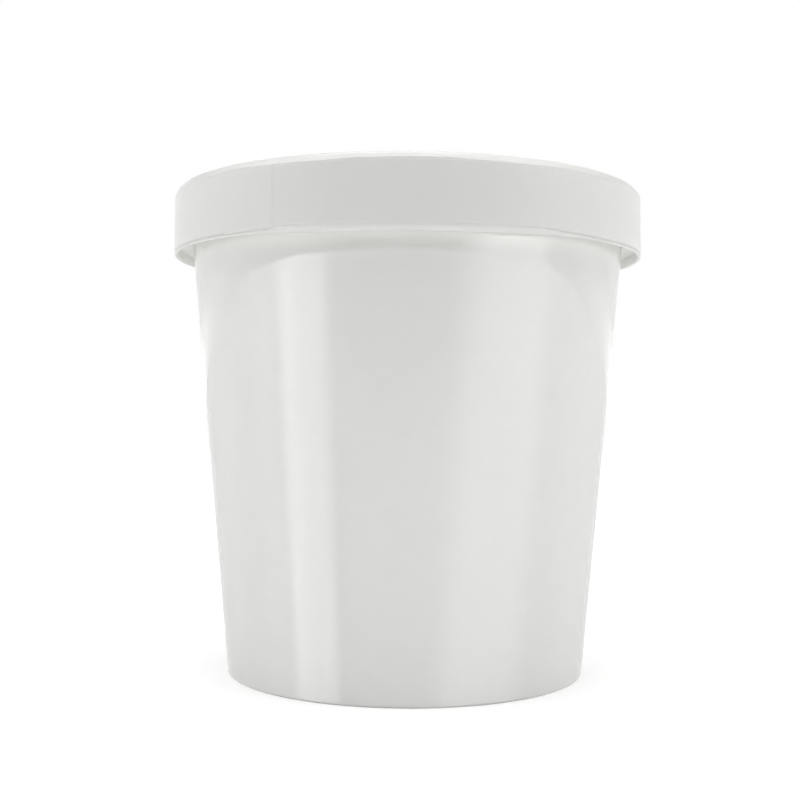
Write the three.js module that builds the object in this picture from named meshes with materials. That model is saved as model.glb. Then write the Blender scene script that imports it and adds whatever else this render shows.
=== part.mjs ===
// A one-pint paper ice cream tub, shut with its two-piece paper lid. Millimetres, +Z up.
// The origin is the middle of the ring that the tub stands on. The front faces -Y, and angles are
// counted from the front, positive towards +X.
import * as THREE from "three";

// Board and clearances
const BOARD = 0.45;
const GAP = 0.3;
const STEP_DEG = 3.75;

// Cup wall: a cone of board, with an outward rolled rim and its lower edge turned in and up
const FOOT_RADIUS = 38.7;
const WALL_SLOPE_DEG = 5.17;
const CUP_HEIGHT = 99.4;
const RIM_RADIUS = 49.7;
const RIM_ROLL = 1.6;
const RIM_STEPS = 9;
const FOOT_PLIES = 3;
const FOOT_ROUND = 0.45;
const FOOT_STEPS = 3;
const FOOT_HEM_HEIGHT = 6.2;

// Base disc: set up inside the foot, its edge turned down behind the hem
const BASE_Z = 7.2;
const BASE_BEND = 0.5;

// Lid ring: a strip with a rolled lower edge and a folded upper edge
const LID_RADIUS = 51;
const LID_BOTTOM_Z = 89.7;
const LID_TOP_Z = 103.6;
const LID_DRAFT_DEG = 0.7;
const CURL_ROUND = 1;
const CURL_STEPS = 10;
const HEM_OUTER_ROUND = 2;
const HEM_INNER_ROUND = 0.8;
const HEM_STEPS = 5;
const HEM_DEPTH = 3.1;

// Glued overlaps: the outer ply stands proud from its cut edge back to where it leaves the inner ply
const LID_SEAM = { edge: -30, end: -38, ramp: 1.8, fall: 0.15, rise: 0.35 };
const CUP_SEAM = { edge: 164, end: 153.5, ramp: 1.6, fall: 0.2, rise: 0.4 };

// Coated white board, and the plain board of the base
const CUP_COLOUR = 0xefefec;
const LID_COLOUR = 0xeeeeec;
const BASE_COLOUR = 0xe9e7e0;

const wallSlope = Math.tan(THREE.MathUtils.degToRad(WALL_SLOPE_DEG));
const lidDraft = Math.tan(THREE.MathUtils.degToRad(LID_DRAFT_DEG));
const footThickness = FOOT_PLIES * BOARD;
const curlZ = LID_BOTTOM_Z + CURL_ROUND;
const panelTopZ = LID_TOP_Z - HEM_DEPTH - GAP;

function wallRadius(z) {
  return FOOT_RADIUS + z * wallSlope;
}

function skirtRadius(z) {
  return LID_RADIUS - (z - curlZ) * lidDraft;
}

// One point of an outline. The lift is the share of a seam's rise that the point takes.
function point(r, z, lift = 0) {
  return { r, z, lift };
}

function arc(r, z, round, fromDeg, toDeg, steps, lift = 0) {
  const points = [];
  for (let step = 0; step <= steps; step += 1) {
    const turn = THREE.MathUtils.degToRad(fromDeg + ((toDeg - fromDeg) * step) / steps);
    points.push(point(r + round * Math.cos(turn), z + round * Math.sin(turn), lift));
  }
  return points;
}

// Evenly spaced angles round the tub, with those that the seam needs put in place of the nearest ones.
function anglesRound(seam) {
  const corners = seam
    ? [seam.end - seam.ramp, seam.end, seam.edge, seam.edge + seam.fall]
    : [];
  const angles = [...corners];
  for (let angle = -180; angle < 180; angle += STEP_DEG) {
    const taken = corners.some((corner) => Math.abs(corner - angle) < STEP_DEG / 4);
    if (!taken) {
      angles.push(angle);
    }
  }
  return angles.sort((a, b) => a - b);
}

// How far the outer ply stands out at an angle: a soft ramp up, a level band and a cut edge.
function seamRise(seam, angle) {
  if (!seam) {
    return 0;
  }
  const up = (angle - (seam.end - seam.ramp)) / seam.ramp;
  const down = (seam.edge + seam.fall - angle) / seam.fall;
  return seam.rise * THREE.MathUtils.clamp(Math.min(up, down), 0, 1);
}

// Turns an outline about the Z axis. The outline runs with the solid on its left, and either starts and
// ends on the axis or closes on itself.
function turned(outline, seam) {
  const angles = anglesRound(seam);
  const section = outline.map(({ r, z }) => new THREE.Vector2(r, z));
  const geometry = new THREE.LatheGeometry(section, angles.length);
  const position = geometry.getAttribute("position");
  for (let index = 0; index < position.count; index += 1) {
    const { r, z, lift } = outline[index % outline.length];
    const degrees = angles[Math.floor(index / outline.length) % angles.length];
    const radius = r + lift * seamRise(seam, degrees);
    const angle = THREE.MathUtils.degToRad(degrees);
    position.setXYZ(index, radius * Math.sin(angle), -radius * Math.cos(angle), z);
  }
  geometry.computeVertexNormals();
  return geometry;
}

function board(name, geometry, colour, roughness) {
  const material = new THREE.MeshStandardMaterial({ color: colour, roughness, metalness: 0 });
  const mesh = new THREE.Mesh(geometry, material);
  mesh.name = name;
  return mesh;
}

// The cup from its foot to its rim. Its lid is on and nothing of its inside shows, so it is solid above
// the base. The foot is the wall, the base's edge and the turned-up hem, one over the other.
function cup() {
  const ceilingZ = BASE_Z + BOARD + GAP;
  const hemFace = (z) => wallRadius(z) - footThickness;
  const rollR = RIM_RADIUS - RIM_ROLL;
  const rollZ = CUP_HEIGHT - RIM_ROLL;
  const wallTopR = wallRadius(rollZ - RIM_ROLL);
  const rollFromDeg = -90 - THREE.MathUtils.radToDeg(Math.asin((rollR - wallTopR) / RIM_ROLL));
  return turned(
    [
      point(0, ceilingZ),
      point(hemFace(ceilingZ) + BOARD, ceilingZ),
      point(hemFace(FOOT_HEM_HEIGHT) + BOARD, FOOT_HEM_HEIGHT),
      point(hemFace(FOOT_HEM_HEIGHT), FOOT_HEM_HEIGHT),
      ...arc(hemFace(FOOT_ROUND) + FOOT_ROUND, FOOT_ROUND, FOOT_ROUND, 180, 270, FOOT_STEPS),
      ...arc(wallRadius(FOOT_ROUND) - FOOT_ROUND, FOOT_ROUND, FOOT_ROUND, 270, 360, FOOT_STEPS, 1),
      ...arc(rollR, rollZ, RIM_ROLL, rollFromDeg, 90, RIM_STEPS, 1).map((p, index) =>
        point(p.r, p.z, index === 0 ? 1 : 0),
      ),
      point(0, CUP_HEIGHT),
    ],
    CUP_SEAM,
  );
}

// The base disc with its edge turned down.
function cupBase() {
  const edgeR = (z) => wallRadius(z) - footThickness + BOARD - GAP;
  const lipZ = FOOT_HEM_HEIGHT + GAP;
  const bendR = edgeR(lipZ) - BOARD - BASE_BEND;
  const bend = arc(bendR, BASE_Z - BASE_BEND, BASE_BEND, 90, 0, FOOT_STEPS);
  return turned([
    point(0, BASE_Z),
    ...bend,
    point(edgeR(lipZ) - BOARD, lipZ),
    point(edgeR(lipZ), lipZ),
    point(edgeR(BASE_Z + BOARD), BASE_Z + BOARD),
    point(0, BASE_Z + BOARD),
  ]);
}

// The lid's side: rolled in at the bottom, where it grips under the cup's rim, and folded over at the top.
function lidRing() {
  const curlR = LID_RADIUS - CURL_ROUND;
  const meetDeg = THREE.MathUtils.radToDeg(Math.acos((CURL_ROUND - BOARD) / CURL_ROUND));
  const hemZ = LID_TOP_Z - HEM_OUTER_ROUND;
  const hemR = skirtRadius(hemZ) - HEM_OUTER_ROUND;
  const hemUnderZ = LID_TOP_Z - HEM_DEPTH;
  const curl = arc(curlR, curlZ, CURL_ROUND, meetDeg, 360, CURL_STEPS);
  const outline = [
    ...curl.map((p) => point(p.r, p.z, p.r > curlR ? (p.r - curlR) / CURL_ROUND : 0)),
    ...arc(hemR, hemZ, HEM_OUTER_ROUND, 0, 90, HEM_STEPS).map((p) =>
      point(p.r, p.z, (p.r - hemR) / HEM_OUTER_ROUND),
    ),
    ...arc(hemR, LID_TOP_Z - HEM_INNER_ROUND, HEM_INNER_ROUND, 90, 180, HEM_STEPS - 1).slice(1),
    point(hemR - HEM_INNER_ROUND, hemUnderZ),
    point(skirtRadius(hemUnderZ) - BOARD, hemUnderZ),
  ];
  outline.push(outline[0]);
  return turned(outline, LID_SEAM);
}

// The lid's flat top, held by the fold of the ring.
function lidPanel() {
  const edgeR = skirtRadius(panelTopZ) - BOARD - GAP;
  return turned([
    point(0, panelTopZ - BOARD),
    point(edgeR, panelTopZ - BOARD),
    point(edgeR, panelTopZ),
    point(0, panelTopZ),
  ]);
}

const tub = new THREE.Group();
tub.add(board("cup", cup(), CUP_COLOUR, 0.38));
tub.add(board("cup_base", cupBase(), BASE_COLOUR, 0.6));
tub.add(board("lid_ring", lidRing(), LID_COLOUR, 0.45));
tub.add(board("lid_panel", lidPanel(), LID_COLOUR, 0.45));

export default tub;
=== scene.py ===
import math

import bpy
from mathutils import Matrix, Vector, noise


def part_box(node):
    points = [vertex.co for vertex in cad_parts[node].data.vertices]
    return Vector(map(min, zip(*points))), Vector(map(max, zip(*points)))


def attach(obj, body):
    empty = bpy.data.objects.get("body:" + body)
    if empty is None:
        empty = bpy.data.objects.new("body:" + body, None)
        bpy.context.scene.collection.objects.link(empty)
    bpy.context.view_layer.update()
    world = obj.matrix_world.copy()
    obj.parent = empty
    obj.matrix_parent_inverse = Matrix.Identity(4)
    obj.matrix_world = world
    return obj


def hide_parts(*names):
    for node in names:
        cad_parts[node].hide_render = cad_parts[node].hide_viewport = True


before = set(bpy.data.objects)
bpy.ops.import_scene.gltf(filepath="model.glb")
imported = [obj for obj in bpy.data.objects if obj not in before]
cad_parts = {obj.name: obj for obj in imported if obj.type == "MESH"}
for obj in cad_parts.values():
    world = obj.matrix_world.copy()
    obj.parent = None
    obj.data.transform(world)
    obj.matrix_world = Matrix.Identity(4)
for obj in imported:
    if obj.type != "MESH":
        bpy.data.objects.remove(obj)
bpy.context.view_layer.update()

# Camera. It stands close to the tub, a little above the middle of its height, so that the lid is seen
# from below and the foot from above. It looks up by less than a degree and leans by less than half of one.
camera_lens = 53.83
camera_sensor = 36.0
camera_near = 0.01
camera_place = (-0.00141, -0.26596, 0.05510)
camera_level = math.pi / 2
camera_rise = 0.0149
camera_lean = 0.0069
camera_data = bpy.data.cameras.new("camera")
camera_data.sensor_width = camera_sensor
camera_data.lens = camera_lens
camera_data.clip_start = camera_near
camera = bpy.data.objects.new("camera", camera_data)
camera.matrix_world = (
    Matrix.Translation(camera_place)
    @ Matrix.Rotation(camera_level + camera_rise, 4, "X")
    @ Matrix.Rotation(camera_lean, 4, "Z")
)
bpy.context.scene.collection.objects.link(camera)
bpy.context.scene.camera = camera

# Cup wall. One fan-shaped blank of white board, coated on both faces, wrapped into a cone and glued
# where its ends overlap at the back. Its lower edge is turned in and up round the base and knurled to
# hold it, and its upper edge is rolled outwards into the rim that carries the lid.
board = 0.00045
columns_round = 720
sharp_angle = math.radians(38)
foot_radius = 0.0387
wall_slope = math.tan(math.radians(5.17))
foot_thickness = 3 * board
foot_round = 0.0005
foot_steps = 7
foot_waver = {"rise": 0.00003, "wave": 0.009, "shift": 3.0}
hem_height = 0.0062
hem_rows = 9
knurls = 120
knurl_depth = 0.00012
ceiling_z = 0.00795
wall_rows = 40
wall_swell = {"rise": 0.00001, "wave": 0.026, "shift": 0.0}
wall_fine_swell = {"rise": 0.000005, "wave": 0.011, "shift": 7.0}
wall_calm_height = 0.012
wall_seam = {"edge": 164.0, "overlap": 0.0080, "ramp": 0.0012, "fall": 0.06, "rise": 0.00038}
rim_roll = 0.0016
rim_steps = 16
cup_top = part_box("cup")[1]
rim_radius = cup_top.x


def waver(warp, angle, z=0.0):
    """A smooth unevenness round the tub. A warp holds its rise, the length of its wave and its shift."""
    place = Vector((math.sin(angle), -math.cos(angle), 0)) * foot_radius + Vector((0, 0, z))
    shift = Vector((warp["shift"], 2 * warp["shift"], 0))
    return warp["rise"] * noise.noise(place / warp["wave"] + shift)


def smooth_step(low, high, value):
    share = min(max((value - low) / (high - low), 0.0), 1.0)
    return share * share * (3 - 2 * share)


def columns_with(seam=None):
    """Angles round the tub in degrees, from the front, with a pair of columns at a seam's cut edge."""
    step = 360 / columns_round
    angles = [-180 + step * column for column in range(columns_round)]
    if seam is None:
        return angles
    cut = [seam["edge"], seam["edge"] + seam["fall"]]
    kept = [a for a in angles if min(abs(a - c) for c in cut) > step / 4]
    return sorted(kept + cut)


def ply_rise(seam, degrees, radius):
    """How far the outer ply stands out: level over the inner ply, then bending down behind its end."""
    behind = (seam["edge"] - degrees + 180) % 360 - 180
    if behind < 0:
        return 0.0
    past = radius * math.radians(behind)
    return seam["rise"] * (1 - smooth_step(seam["overlap"], seam["overlap"] + seam["ramp"], past))


def arc(r, z, size, from_degrees, to_degrees, steps):
    turns = [math.radians(from_degrees + (to_degrees - from_degrees) * i / steps) for i in range(steps + 1)]
    return [(r + size * math.cos(t), z + size * math.sin(t)) for t in turns]


def board_piece(name, angles, outline_at, closed=False):
    """Carries an outline round the tub. It runs with the board on its left, and it either starts and ends
    on the axis or, when closed, is a ring's section. Returns the object and its faces' place in the grid,
    as the column and the number of the outline's point at which the face begins."""
    outlines = [outline_at(degrees) for degrees in angles]
    rings = outlines if closed else [outline[1:-1] for outline in outlines]
    rows = len(rings[0])
    points = []
    for degrees, ring in zip(angles, rings):
        angle = math.radians(degrees)
        points += [(r * math.sin(angle), -r * math.cos(angle), z) for r, z in ring]
    first_middle, last_middle = len(points), len(points) + 1
    if not closed:
        points += [(0, 0, outlines[0][0][1]), (0, 0, outlines[0][-1][1])]
    faces, places = [], []
    for column in range(len(angles)):
        here, beside = column * rows, (column + 1) % len(angles) * rows
        if not closed:
            faces += [(first_middle, beside, here), (here + rows - 1, beside + rows - 1, last_middle)]
            places += [(column, 0), (column, rows)]
        for row in range(rows if closed else rows - 1):
            above = (row + 1) % rows
            faces.append((here + row, beside + row, beside + above, here + above))
            places.append((column, row if closed else row + 1))
    mesh = bpy.data.meshes.new(name)
    mesh.from_pydata(points, [], faces)
    mesh.shade_smooth()
    mesh.set_sharp_from_angle(angle=sharp_angle)
    piece = bpy.data.objects.new(name, mesh)
    bpy.context.scene.collection.objects.link(piece)
    return piece, places


def wall_radius(z):
    return foot_radius + z * wall_slope


def hem_radius(z):
    """The face of the turned-up hem that looks inwards."""
    return wall_radius(z) - foot_thickness


def cup_outline(degrees):
    angle = math.radians(degrees)
    knurl = knurl_depth * (0.5 - 0.5 * math.cos(knurls * angle))

    def outside(z):
        swell = waver(wall_swell, angle, z) + waver(wall_fine_swell, angle, z)
        calm = smooth_step(0.0, wall_calm_height, z)
        return wall_radius(z) + swell * calm + ply_rise(wall_seam, degrees, wall_radius(z))

    hem_heights = [hem_height * (1 - i / hem_rows) for i in range(1, hem_rows)]
    inside_hem = [(hem_radius(z) + knurl * math.sin(math.pi * z / hem_height), z) for z in hem_heights]
    roll_r = rim_radius - rim_roll
    roll_z = cup_top.z - rim_roll
    roll_reach = roll_r - wall_radius(roll_z - rim_roll)
    roll_start = -90 - math.degrees(math.asin(roll_reach / rim_roll))
    roll = arc(roll_r, roll_z, rim_roll, roll_start, 90, rim_steps)
    foot_z = foot_round + waver(foot_waver, angle)
    wall_heights = [foot_z + (roll[0][1] - foot_z) * i / wall_rows for i in range(1, wall_rows)]
    return [
        (0.0, ceiling_z),
        (hem_radius(ceiling_z) + board, ceiling_z),
        (hem_radius(hem_height) + board, hem_height),
        (hem_radius(hem_height), hem_height),
        *inside_hem,
        *arc(hem_radius(foot_round) + foot_round, foot_round, foot_round, 180, 270, foot_steps),
        *arc(outside(foot_z) - foot_round, foot_round, foot_round, 270, 360, foot_steps),
        *[(outside(z), z) for z in wall_heights],
        *roll,
        (0.0, cup_top.z),
    ]


cup_columns = columns_with(wall_seam)
cup_wall, cup_places = board_piece("cup_wall", cup_columns, cup_outline)


def group(name, inputs, outputs):
    """An empty shader node group with named number inputs and outputs."""
    made = bpy.data.node_groups.new(name, "ShaderNodeTree")
    for label, value in inputs.items():
        socket = made.interface.new_socket(label, in_out="INPUT", socket_type="NodeSocketFloat")
        socket.default_value = value
    for label in outputs:
        made.interface.new_socket(label, in_out="OUTPUT", socket_type="NodeSocketFloat")
    return made, made.nodes.new("NodeGroupInput"), made.nodes.new("NodeGroupOutput")


def add(tree, kind, links=(), **settings):
    """Adds a node, sets its properties or input values by name, and links (output, input name) pairs."""
    node = tree.nodes.new(kind)
    for label, value in settings.items():
        if label in node.bl_rna.properties:
            setattr(node, label, value)
        else:
            node.inputs[label.replace("_", " ")].default_value = value
    for source, socket in links:
        tree.links.new(source, node.inputs[socket])
    return node


# Board formation: how evenly the fibres lie. Cloud is the soft mottle seen through a white coating, and
# fleck is the fine grain of single fibres.
formation, formation_in, formation_out = group(
    "board_formation", {"Cloud Scale": 260.0, "Fleck Scale": 2400.0}, ("Cloud", "Fleck")
)
fibre_place = formation.nodes.new("ShaderNodeTexCoord").outputs["Object"]
cloud = add(formation, "ShaderNodeTexNoise", [(fibre_place, "Vector")], Detail=4.0, Roughness=0.62)
fleck = add(formation, "ShaderNodeTexNoise", [(fibre_place, "Vector")], Detail=2.0, Roughness=0.5)
formation.links.new(formation_in.outputs["Cloud Scale"], cloud.inputs["Scale"])
formation.links.new(formation_in.outputs["Fleck Scale"], fleck.inputs["Scale"])
formation.links.new(cloud.outputs["Fac"], formation_out.inputs["Cloud"])
formation.links.new(fleck.outputs["Fac"], formation_out.inputs["Fleck"])

# Coating ripple: the slight waviness of the poured coating, with long faint streaks the way it was
# poured. Height is the coating's level, from which the materials take their relief and their gloss.
streak_stretch = (1.0, 1.0, 0.04)
ripple, ripple_in, ripple_out = group(
    "coating_ripple", {"Ripple Scale": 520.0, "Streak Share": 0.25}, ("Height",)
)
coating_place = ripple.nodes.new("ShaderNodeTexCoord").outputs["Object"]
waves = add(ripple, "ShaderNodeTexNoise", [(coating_place, "Vector")], Detail=1.0, Roughness=0.4)
drawn = add(ripple, "ShaderNodeMapping", [(coating_place, "Vector")], Scale=streak_stretch)
streaks = add(ripple, "ShaderNodeTexNoise", [(drawn.outputs["Vector"], "Vector")], Detail=1.0)
both = add(ripple, "ShaderNodeMix", [(waves.outputs["Fac"], "A"), (streaks.outputs["Fac"], "B")])
ripple.links.new(ripple_in.outputs["Streak Share"], both.inputs["Factor"])
for texture in (waves, streaks):
    ripple.links.new(ripple_in.outputs["Ripple Scale"], texture.inputs["Scale"])
ripple.links.new(both.outputs["Result"], ripple_out.inputs["Height"])

noise_low = 0.3
noise_high = 0.7
grain_share = 0.02


def two_tone(tree, share, dark, light):
    """Mixes two colours by a share. The node lists sockets for numbers first, so colours go by number."""
    colour_a, colour_b, colour_out = 6, 7, 2
    mix = add(tree, "ShaderNodeMix", [(share, "Factor")], data_type="RGBA")
    mix.inputs[colour_a].default_value = (*dark, 1)
    mix.inputs[colour_b].default_value = (*light, 1)
    return mix.outputs[colour_out]


def coated_board(
    name, light, dark, smooth, rough, ripple_scale, ripple_height, cloud_scale, streak_share, specular_ior
):
    """White coated board: two close whites mixed by the formation, and a gloss broken by the ripple."""
    material = bpy.data.materials.new(name)
    material.use_nodes = True
    tree = material.node_tree
    shader = tree.nodes["Principled BSDF"]
    fibres = add(tree, "ShaderNodeGroup", node_tree=formation)
    fibres.inputs["Cloud Scale"].default_value = cloud_scale
    coat = add(tree, "ShaderNodeGroup", node_tree=ripple)
    coat.inputs["Ripple Scale"].default_value = ripple_scale
    coat.inputs["Streak Share"].default_value = streak_share
    mottle = add(
        tree, "ShaderNodeMapRange", [(fibres.outputs["Cloud"], "Value")],
        From_Min=noise_low, From_Max=noise_high,
    )
    tone = two_tone(tree, mottle.outputs["Result"], dark, light)
    gloss = add(
        tree, "ShaderNodeMapRange", [(coat.outputs["Height"], "Value")],
        From_Min=noise_low, From_Max=noise_high, To_Min=smooth, To_Max=rough,
    )
    grain = add(tree, "ShaderNodeMath", [(fibres.outputs["Fleck"], 0)], operation="MULTIPLY")
    grain.inputs[1].default_value = grain_share
    relief = add(
        tree, "ShaderNodeMath", [(coat.outputs["Height"], 0), (grain.outputs["Value"], 1)], operation="ADD"
    )
    bump = add(tree, "ShaderNodeBump", [(relief.outputs["Value"], "Height")], Distance=ripple_height)
    tree.links.new(tone, shader.inputs["Base Color"])
    tree.links.new(gloss.outputs["Result"], shader.inputs["Roughness"])
    tree.links.new(bump.outputs["Normal"], shader.inputs["Normal"])
    shader.inputs["IOR"].default_value = specular_ior
    return material


def cut_board(name, light, dark, roughness, cloud_scale, fleck_scale, relief_height):
    """The cut edge of the board: warm bare fibre in thin layers, with the coating left out."""
    material = bpy.data.materials.new(name)
    material.use_nodes = True
    tree = material.node_tree
    shader = tree.nodes["Principled BSDF"]
    fibres = add(tree, "ShaderNodeGroup", node_tree=formation)
    fibres.inputs["Cloud Scale"].default_value = cloud_scale
    fibres.inputs["Fleck Scale"].default_value = fleck_scale
    tone = two_tone(tree, fibres.outputs["Fleck"], dark, light)
    bump = add(tree, "ShaderNodeBump", [(fibres.outputs["Cloud"], "Height")], Distance=relief_height)
    tree.links.new(tone, shader.inputs["Base Color"])
    tree.links.new(bump.outputs["Normal"], shader.inputs["Normal"])
    shader.inputs["Roughness"].default_value = roughness
    return material


cup_coated = coated_board(
    "cup_coated_board",
    light=(0.880, 0.880, 0.862),
    dark=(0.866, 0.865, 0.845),
    smooth=0.014,
    rough=0.022,
    ripple_scale=110.0,
    ripple_height=0.000004,
    cloud_scale=260.0,
    streak_share=0.3,
    specular_ior=1.52,
)
bare_edge = cut_board(
    "bare_board_edge",
    light=(0.87, 0.86, 0.835),
    dark=(0.80, 0.785, 0.75),
    roughness=0.85,
    cloud_scale=1500.0,
    fleck_scale=7000.0,
    relief_height=0.00004,
)


def paint(piece, places, coated, bare_rows=(), bare_column=None, seam_rows=()):
    """Gives a piece its coated board, and the bare edge to the cut rows and to the seam's cut column."""
    piece.data.materials.append(coated)
    piece.data.materials.append(bare_edge)
    for face, (column, row) in zip(piece.data.polygons, places):
        face.material_index = int(row in bare_rows or (column == bare_column and row in seam_rows))


cup_corners = 4
cup_hem_cut_row = 2
first_wall_row = cup_corners + (hem_rows - 1) + 2 * (foot_steps + 1) - 1
paint(
    cup_wall,
    cup_places,
    cup_coated,
    bare_rows={cup_hem_cut_row},
    bare_column=cup_columns.index(wall_seam["edge"]),
    seam_rows=range(first_wall_row, first_wall_row + wall_rows),
)
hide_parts("cup")
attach(cup_wall, "root")

# Base disc. A round of plain white board pushed up into the foot, with its edge turned down and held
# between the wall and the turned-up hem. It is only seen from below.
base_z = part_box("cup_base")[1].z - board
base_bend = 0.0007
base_bend_steps = 6
base_sag = 0.00025
base_warp = {"rise": 0.00003, "wave": 0.012, "shift": 5.0}
base_warp_start = 0.004
base_clear = 0.00004
base_rings = 12
base_cut_row = base_rings + base_bend_steps


def base_edge_radius(z):
    return hem_radius(z) + board - base_clear


def base_outline(degrees):
    angle = math.radians(degrees)
    lip_z = hem_height + base_clear
    flat_r = base_edge_radius(lip_z) - board - base_bend

    def under(r):
        bow = base_sag * (1 - (r / flat_r) ** 2)
        return base_z - bow + waver(base_warp, angle, r) * smooth_step(0, base_warp_start, r)

    ring_radii = [flat_r * i / base_rings for i in range(base_rings)]
    return [
        *[(r, under(r)) for r in ring_radii],
        *arc(flat_r, base_z - base_bend, base_bend, 90, 0, base_bend_steps),
        (base_edge_radius(lip_z), lip_z),
        (base_edge_radius(base_z + board), base_z + board),
        (0.0, base_z + board),
    ]


base_disc, base_places = board_piece("base_disc", columns_with(), base_outline)
base_plain = coated_board(
    "base_plain_board",
    light=(0.86, 0.852, 0.822),
    dark=(0.82, 0.81, 0.775),
    smooth=0.55,
    rough=0.7,
    ripple_scale=600.0,
    ripple_height=0.00001,
    cloud_scale=420.0,
    streak_share=0.1,
    specular_ior=1.45,
)
paint(base_disc, base_places, base_plain, bare_rows={base_cut_row})
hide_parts("cup_base")
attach(base_disc, "root")

# Lid ring. A strip of coated board glued into a hoop, the cut end of its overlap showing left of the
# front. Its lower edge is creased, rolled inwards and turned in to the wall behind the roll, and its upper
# edge is folded over the lid's panel, which leaves a crease, a bevel and small puckers.
lid_low, lid_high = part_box("lid_ring")
lid_radius = lid_high.y
lid_draft = math.tan(math.radians(0.7))
lid_lean = 0.00010
lid_seam = {"edge": -30.0, "overlap": 0.0070, "ramp": 0.0016, "fall": 0.12, "rise": 0.00002}
seam_burr = 0.000005
seam_burr_width = 0.0009
seam_sink = 0.00001
seam_sink_width = 0.0044

# The roll is a pair of sizes, at the front and at the sides. Spans are in degrees from the front.
curl_sizes = (0.0010, 0.00042)
curl_size_span = (40, 70)
curl_inside_steps = 10
curl_outside_steps = 24
curl_hang = 0.00062
curl_hang_span = (14, 46)
curl_waver = {"rise": 0.00004, "wave": 0.010, "shift": 13.0}
tail_rise = 0.0021
tail_clear = 0.00004
tail_cut_row = 1

# The crease over the roll, shallow at the front and deep at the sides. Past the seam's cut edge it lies
# a step higher, and comes down again over a span that is counted from that edge.
curl_crease_rise = 0.00048
curl_crease_step = 0.00038
curl_crease_step_end = (55, 78)
curl_crease_half = (0.00013, 0.00014)
curl_crease_depth = (0.00006, 0.00046)
curl_crease_span = (18, 46)
curl_crease_waver = {"rise": 0.00007, "wave": 0.007, "shift": 15.0}

# The skirt between the two creases, with fine rows of points where they lie.
skirt_fine_rows = 14
skirt_fine_step = 0.00006
skirt_rows = 10
skirt_crease_rows = 10
skirt_crease_margin = 0.0005
skirt_swell = {"rise": 0.00003, "wave": 0.020, "shift": 19.0}
skirt_fine_swell = {"rise": 0.000012, "wave": 0.007, "shift": 23.0}

# The fold over the panel: its crease, its bevel, its round top and the hem that hangs inside.
fold_height = 0.00141
fold_waver = {"rise": 0.00018, "wave": 0.0065, "shift": 17.0}
fold_lift = 0.00014
fold_lift_span = (4, 16)
fold_steps = 5
fold_tilt = math.radians(30)
fold_round = 0.0011
fold_round_steps = 8
fold_inner = 0.0005
fold_inner_steps = 5
fold_crease_drop = 0.00020
fold_crease_half = 0.00016
fold_crease_depth = 0.00013
fold_crease_fade = 0.6
fold_crease_fade_span = (30, 60)
faint_crease_share = 0.4
faint_crease_span = (-48, -30)
top_waver = {"rise": 0.00003, "wave": 0.012, "shift": 11.0}
hem_depth = 0.00335
hem_face_rows = 5
pucker_depth = 0.00011
pucker_wave = 0.0016
pucker_bevel_share = 0.2
pucker_top_share = 0.3


def dent(z, middle, half, depth):
    return depth * math.exp(-(((z - middle) / half) ** 2))


def between(pair, share):
    return pair[0] + (pair[1] - pair[0]) * share


def line(start, end, rows):
    """Points along a straight stretch of an outline, without its two ends."""
    return [
        (start[0] + (end[0] - start[0]) * i / rows, start[1] + (end[1] - start[1]) * i / rows)
        for i in range(1, rows)
    ]


def lid_ply(degrees):
    """How far the ring's face stands out at the seam: the outer ply with its lifted cut end, and on the
    other side of the cut the inner ply, which slopes out from under it."""
    past = lid_radius * math.radians((degrees - lid_seam["edge"]) % 360)
    behind = lid_radius * math.tau - past
    if 0 < past < seam_sink_width:
        return -seam_sink * (1 - past / seam_sink_width)
    burr = seam_burr * math.exp(-((behind / seam_burr_width) ** 2))
    return ply_rise(lid_seam, degrees, lid_radius) + burr


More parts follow.
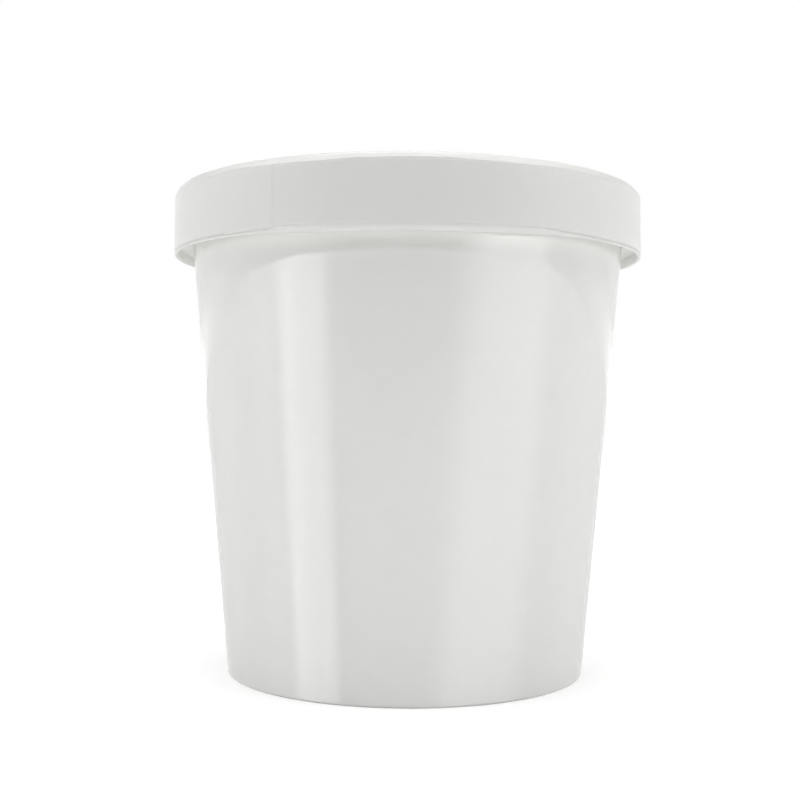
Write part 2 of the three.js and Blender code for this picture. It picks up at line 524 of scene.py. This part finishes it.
def lid_outline(degrees):
    angle = math.radians(degrees)
    from_front = abs(degrees)
    ply = lid_ply(degrees)
    top_z = lid_high.z - lid_lean * (0.5 + 0.5 * math.sin(angle)) + waver(top_waver, angle)

    curl = between(curl_sizes, smooth_step(*curl_size_span, from_front))
    hang = curl_hang * (1 - smooth_step(*curl_hang_span, from_front))
    curl_z = lid_low.z + curl - hang + waver(curl_waver, angle)
    curl_r = lid_radius - curl

    crease_share = smooth_step(*curl_crease_span, from_front)
    curl_depth = between(curl_crease_depth, crease_share)
    curl_half = between(curl_crease_half, crease_share)
    after_seam = (degrees - lid_seam["edge"]) % 360
    step_share = 1 - smooth_step(*curl_crease_step_end, after_seam)
    curl_crease_z = lid_low.z + curl_crease_rise + curl_crease_step * step_share
    curl_crease_z += waver(curl_crease_waver, angle)

    fold_z = lid_high.z - fold_height + waver(fold_waver, angle)
    fold_z += fold_lift * (1 - smooth_step(*fold_lift_span, from_front))
    fold_crease_z = fold_z - fold_crease_drop
    fold_depth = fold_crease_depth * (1 - fold_crease_fade * smooth_step(*fold_crease_fade_span, from_front))
    if faint_crease_span[0] < degrees < faint_crease_span[1]:
        fold_depth *= faint_crease_share

    def face(z, straight_r):
        swell = waver(skirt_swell, angle, z) + waver(skirt_fine_swell, angle, z)
        dents = dent(z, curl_crease_z, curl_half, curl_depth)
        dents += dent(z, fold_crease_z, fold_crease_half, fold_depth)
        return straight_r + swell - dents

    def skirt(z):
        return face(z, lid_radius - max(z - curl_z, 0) * lid_draft) + ply

    def inside_radius(z):
        return lid_radius - (z - curl_z) * lid_draft - board

    tail_z = curl_z - curl + tail_rise
    tail_r = wall_radius(tail_z) + ply_rise(wall_seam, degrees, wall_radius(tail_z)) + tail_clear
    tail = [
        (inside_radius(tail_z + board), tail_z + board),
        (tail_r, tail_z + board),
        (tail_r, tail_z),
        (curl_r - curl, tail_z),
    ]
    curl_inside = arc(curl_r, curl_z, curl, 180, 270, curl_inside_steps)
    curl_outside = [
        (face(z, r) + ply * (r - curl_r) / curl, z)
        for r, z in arc(curl_r, curl_z, curl, 270, 360, curl_outside_steps)[1:]
    ]

    fine = [curl_z + skirt_fine_step * (i + 1) for i in range(skirt_fine_rows)]
    below_crease = fold_crease_z - skirt_crease_margin
    coarse = [fine[-1] + (below_crease - fine[-1]) * (i + 1) / skirt_rows for i in range(skirt_rows)]
    creased = [
        below_crease + (fold_z - below_crease) * (i + 1) / skirt_crease_rows for i in range(skirt_crease_rows)
    ]
    skirt_face = [(skirt(z), z) for z in fine + coarse + creased]

    pucker_place = Vector((math.sin(angle), math.cos(angle), 0)) * lid_radius / pucker_wave
    pucker = pucker_depth * noise.noise(pucker_place)
    bevel = top_z - fold_z - fold_round * (1 - math.sin(fold_tilt))
    fold_r = skirt_face[-1][0]
    fold_end_r = lid_radius - (fold_z - curl_z) * lid_draft - bevel * math.tan(fold_tilt)
    fold_face = []
    for i in range(1, fold_steps):
        r = fold_r + (fold_end_r - fold_r) * i / fold_steps
        z = fold_z + bevel * i / fold_steps + pucker_bevel_share * pucker * (i / fold_steps)
        fold_face.append((r, z))
    top_r = fold_end_r - fold_round * math.cos(fold_tilt)
    over_top = [
        (r, z + pucker_top_share * pucker)
        for r, z in arc(top_r, top_z - fold_round, fold_round, math.degrees(fold_tilt), 90, fold_round_steps)
    ]
    inner_arc = arc(top_r, top_z - fold_inner, fold_inner, 90, 180, fold_inner_steps)
    inner_fold = [
        (r + pucker * i / fold_inner_steps, z + pucker_top_share * pucker)
        for i, (r, z) in enumerate(inner_arc[1:], 1)
    ]
    hem_end = (top_r - fold_inner + pucker, lid_high.z - hem_depth)
    return [
        *tail,
        *curl_inside,
        *curl_outside,
        *skirt_face,
        *fold_face,
        *over_top,
        *inner_fold,
        *line(inner_fold[-1], hem_end, hem_face_rows),
        hem_end,
        (inside_radius(hem_end[1]), hem_end[1]),
    ]


lid_columns = columns_with(lid_seam)
lid_ring, lid_places = board_piece("lid_ring_board", lid_columns, lid_outline, closed=True)
lid_coated = coated_board(
    "lid_coated_board",
    light=(0.872, 0.871, 0.852),
    dark=(0.866, 0.865, 0.845),
    smooth=0.285,
    rough=0.34,
    ripple_scale=300.0,
    ripple_height=0.0000025,
    cloud_scale=380.0,
    streak_share=0.15,
    specular_ior=1.42,
)
tail_corners = 4
seam_hidden_rows = 3
curl_outside_row = tail_corners + curl_inside_steps + 1
skirt_row = curl_outside_row + curl_outside_steps
fold_row = skirt_row + skirt_fine_rows + skirt_rows + skirt_crease_rows
hem_row = fold_row + (fold_steps - 1) + (fold_round_steps + 1) + fold_inner_steps
hem_cut_row = hem_row + (hem_face_rows - 1)
paint(
    lid_ring,
    lid_places,
    lid_coated,
    bare_rows={tail_cut_row, hem_cut_row},
    bare_column=lid_columns.index(lid_seam["edge"]),
    seam_rows=range(curl_outside_row + seam_hidden_rows, fold_row + fold_steps),
)
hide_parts("lid_ring")
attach(lid_ring, "root")

# Lid panel. A disc of the same board laid under the ring's fold. Pressing leaves a shallow bead inside its
# edge, and the middle hangs a little.
panel_low, panel_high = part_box("lid_panel")
panel_radius = panel_high.x
panel_sag = 0.00018
panel_warp = {"rise": 0.00004, "wave": 0.019, "shift": 29.0}
panel_warp_start = 0.006
panel_rings = 26
bead_radius = 0.0445
bead_width = 0.0011
bead_depth = 0.00022
bead_rings = (-1.6, -1.1, -0.6, -0.2, 0.2, 0.6, 1.1, 1.6)
panel_cut_row = panel_rings + len(bead_rings)


def panel_outline(degrees):
    angle = math.radians(degrees)

    def shift(r):
        hang = -panel_sag * (1 - smooth_step(0.0, bead_radius, r))
        bead = -dent(r, bead_radius, bead_width, bead_depth)
        warp = waver(panel_warp, angle, r) * smooth_step(0, panel_warp_start, r)
        return hang + bead + warp

    radii = [panel_radius * math.sqrt(i / panel_rings) for i in range(panel_rings + 1)]
    radii += [bead_radius + bead_width * share for share in bead_rings]
    radii = sorted(radii)
    under = [(r, panel_low.z + shift(r)) for r in radii]
    over = [(r, panel_high.z + shift(r)) for r in reversed(radii)]
    return under + over


lid_panel, panel_places = board_piece("lid_panel_board", columns_with(), panel_outline)
paint(lid_panel, panel_places, lid_coated, bare_rows={panel_cut_row})
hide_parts("lid_panel")
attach(lid_panel, "root")

# Floor. A wide round table top of matt white that reads as pure white. It is lit from above, and a glow
# that only the camera sees makes up what the light lacks. It doesn't show in the coating's gloss.
floor_radius = 1.7
floor_sides = 128
floor_tone = 0.765
floor_roughness = 0.9
floor_glow = 0.36
floor_turns = [math.tau * i / floor_sides for i in range(floor_sides)]
floor_edge = [(floor_radius * math.cos(turn), floor_radius * math.sin(turn), 0) for turn in floor_turns]
floor_mesh = bpy.data.meshes.new("floor")
floor_mesh.from_pydata(floor_edge, [], [tuple(range(floor_sides))])
floor = bpy.data.objects.new("floor", floor_mesh)
bpy.context.scene.collection.objects.link(floor)
floor_white = bpy.data.materials.new("floor_white")
floor_white.use_nodes = True
floor_tree = floor_white.node_tree
floor_shader = floor_tree.nodes["Principled BSDF"]
floor_shader.inputs["Base Color"].default_value = (floor_tone, floor_tone, floor_tone, 1)
floor_shader.inputs["Roughness"].default_value = floor_roughness
floor_shader.inputs["Emission Color"].default_value = (1, 1, 1, 1)
floor_path = floor_tree.nodes.new("ShaderNodeLightPath")
floor_light = add(
    floor_tree, "ShaderNodeMath", [(floor_path.outputs["Is Camera Ray"], 0)], operation="MULTIPLY"
)
floor_light.inputs[1].default_value = floor_glow
floor_tree.links.new(floor_light.outputs["Value"], floor_shader.inputs["Emission Strength"])
floor_mesh.materials.append(floor_white)
floor.visible_glossy = False

# Light. A white studio: a soft box overhead with a small bright lamp in its middle, softer light high at
# both sides, and a dark room in front. The coating shows what lies low round the tub: a white table with a
# straight front edge, a thin dark gap, haze that is brighter at the sides, and soft strips of light.
ceiling_light = 2.5
ceiling_heights = (0.86, 0.94)
zenith_light = 6.8
zenith_heights = (0.97, 0.985)
front_high = 0.84
front_low = 0.02
side_high = 1.97
side_low = 0.97
side_span = (42, 78)
high_heights = (0.55, 0.75)
back_high = 0.05
back_low = 0.95
back_span = (94, 122)
back_heights = (0.2, 0.5)
table_front = 2.1
table_back = 0.92
table_span = (75, 150)
table_near = 0.45
table_near_heights = (-0.65, -0.45)
table_edge = -0.038
table_edge_heights = (-0.001, 0.001)
table_glow = 1.1
table_glow_heights = (-0.25, -0.06)
table_glow_aside = (0.3, 1.0)
gap_heights = (0.006, 0.040)
haze = 0.9
haze_beside = 1.3
haze_beside_span = (34, 46)
haze_heights = (0.03, 0.06)
strips = {
    "left": {"at": -57.0, "core": 8.0, "end": 20.0, "light": 2.6, "lean": 0.0},
    "right": {"at": 54.0, "core": 11.0, "end": 36.0, "light": 1.9, "lean": 20.0},
    "far left": {"at": -76.0, "core": 5.0, "end": 24.0, "light": 0.7, "lean": 0.0},
}
strip_lean_from = -0.07
strip_in_haze = 0.9
backdrop_white = 1.0
light_bounces = 10
world = bpy.data.worlds.new("studio")
world.use_nodes = True
world.cycles.sampling_method = "NONE"
bpy.context.scene.world = world
sky = world.node_tree
sky.nodes.clear()


def feed(socket, value):
    """Sets a socket to a number, or links another node's output to it."""
    if isinstance(value, (int, float)):
        socket.default_value = value
    else:
        sky.links.new(value, socket)


def sky_math(operation, *values):
    node = add(sky, "ShaderNodeMath", operation=operation)
    for socket, value in zip(node.inputs, values):
        feed(socket, value)
    return node.outputs["Value"]


def sky_mix(share, low, high):
    node = add(sky, "ShaderNodeMix", [(share, "Factor")])
    feed(node.inputs["A"], low)
    feed(node.inputs["B"], high)
    return node.outputs["Result"]


def sky_ramp(value, span, low=0.0, high=1.0):
    node = add(
        sky, "ShaderNodeMapRange", [(value, "Value")], interpolation_type="SMOOTHSTEP",
        From_Min=span[0], From_Max=span[1], To_Min=low, To_Max=high,
    )
    return node.outputs["Result"]


sky_place = sky.nodes.new("ShaderNodeTexCoord")
sky_parts = add(sky, "ShaderNodeSeparateXYZ", [(sky_place.outputs["Generated"], "Vector")])
sky_x, sky_y, sky_z = (sky_parts.outputs[axis] for axis in "XYZ")
azimuth = sky_math("ARCTAN2", sky_x, sky_math("MULTIPLY", sky_y, -1))
aside = sky_math("ABSOLUTE", azimuth)


def aside_ramp(span, low=0.0, high=1.0):
    """A ramp over the angle from the front, its span in degrees."""
    return sky_ramp(aside, [math.radians(degrees) for degrees in span], low, high)


# The table, brighter in front, with a glow near its front edge and the strips of light on it.
in_front = aside_ramp(table_span, 1.0, 0.0)
glow_height = sky_ramp(sky_z, table_glow_heights, table_glow, 0.0)
glow = sky_math("MULTIPLY", glow_height, sky_ramp(aside, table_glow_aside, 1.0, 0.0))
table = sky_math("ADD", sky_mix(in_front, table_back, table_front), glow)
strip_shares = {}
for strip_name, strip in strips.items():
    over_start = sky_math("SUBTRACT", sky_z, strip_lean_from)
    leaning = sky_math("MULTIPLY", over_start, math.radians(strip["lean"]))
    strip_azimuth = sky_math("SUBTRACT", azimuth, leaning)
    away = sky_math("ABSOLUTE", sky_math("SUBTRACT", strip_azimuth, math.radians(strip["at"])))
    strip_width = (math.radians(strip["core"]), math.radians(strip["end"]))
    strip_shares[strip_name] = sky_ramp(away, strip_width, 1.0, 0.0)
    table = sky_math("ADD", table, sky_math("MULTIPLY", strip_shares[strip_name], strip["light"]))

# The room: its front, sides and back, then the soft box and the lamp over the tub.
high = sky_ramp(sky_z, high_heights)
front = sky_mix(high, front_low, front_high)
side = sky_mix(high, side_low, side_high)
room = sky_mix(aside_ramp(side_span), front, side)
back = sky_mix(sky_ramp(sky_z, back_heights), back_low, back_high)
room = sky_mix(aside_ramp(back_span), room, back)
room = sky_mix(sky_ramp(sky_z, ceiling_heights), room, ceiling_light)
room = sky_mix(sky_ramp(sky_z, zenith_heights), room, zenith_light)

# The table's edge, the dark gap over it and the haze behind.
edge_z = sky_math("MULTIPLY", sky_math("MAXIMUM", sky_math("COSINE", azimuth), 0.0), table_edge)
above_edge = sky_math("SUBTRACT", sky_z, edge_z)
behind_edge = sky_math("MULTIPLY", sky_ramp(above_edge, gap_heights), haze)
behind_edge = sky_mix(aside_ramp(haze_beside_span), behind_edge, haze_beside)
behind_edge = sky_mix(strip_shares["right"], behind_edge, sky_math("MULTIPLY", table, strip_in_haze))
room = sky_mix(sky_ramp(above_edge, haze_heights, 1.0, 0.0), room, behind_edge)
table = sky_math("MULTIPLY", table, sky_ramp(sky_z, table_near_heights, table_near, 1.0))
studio = sky_mix(sky_ramp(above_edge, table_edge_heights), table, room)

# The camera sees a white backdrop in place of the studio.
sky_path = sky.nodes.new("ShaderNodeLightPath")
strength = sky_mix(sky_path.outputs["Is Camera Ray"], studio, backdrop_white)
background = add(sky, "ShaderNodeBackground", [(strength, "Strength")], Color=(1, 1, 1, 1))
sky_out = sky.nodes.new("ShaderNodeOutputWorld")
sky.links.new(background.outputs["Background"], sky_out.inputs["Surface"])

bpy.context.scene.cycles.diffuse_bounces = light_bounces
bpy.context.scene.view_settings.view_transform = "Standard"
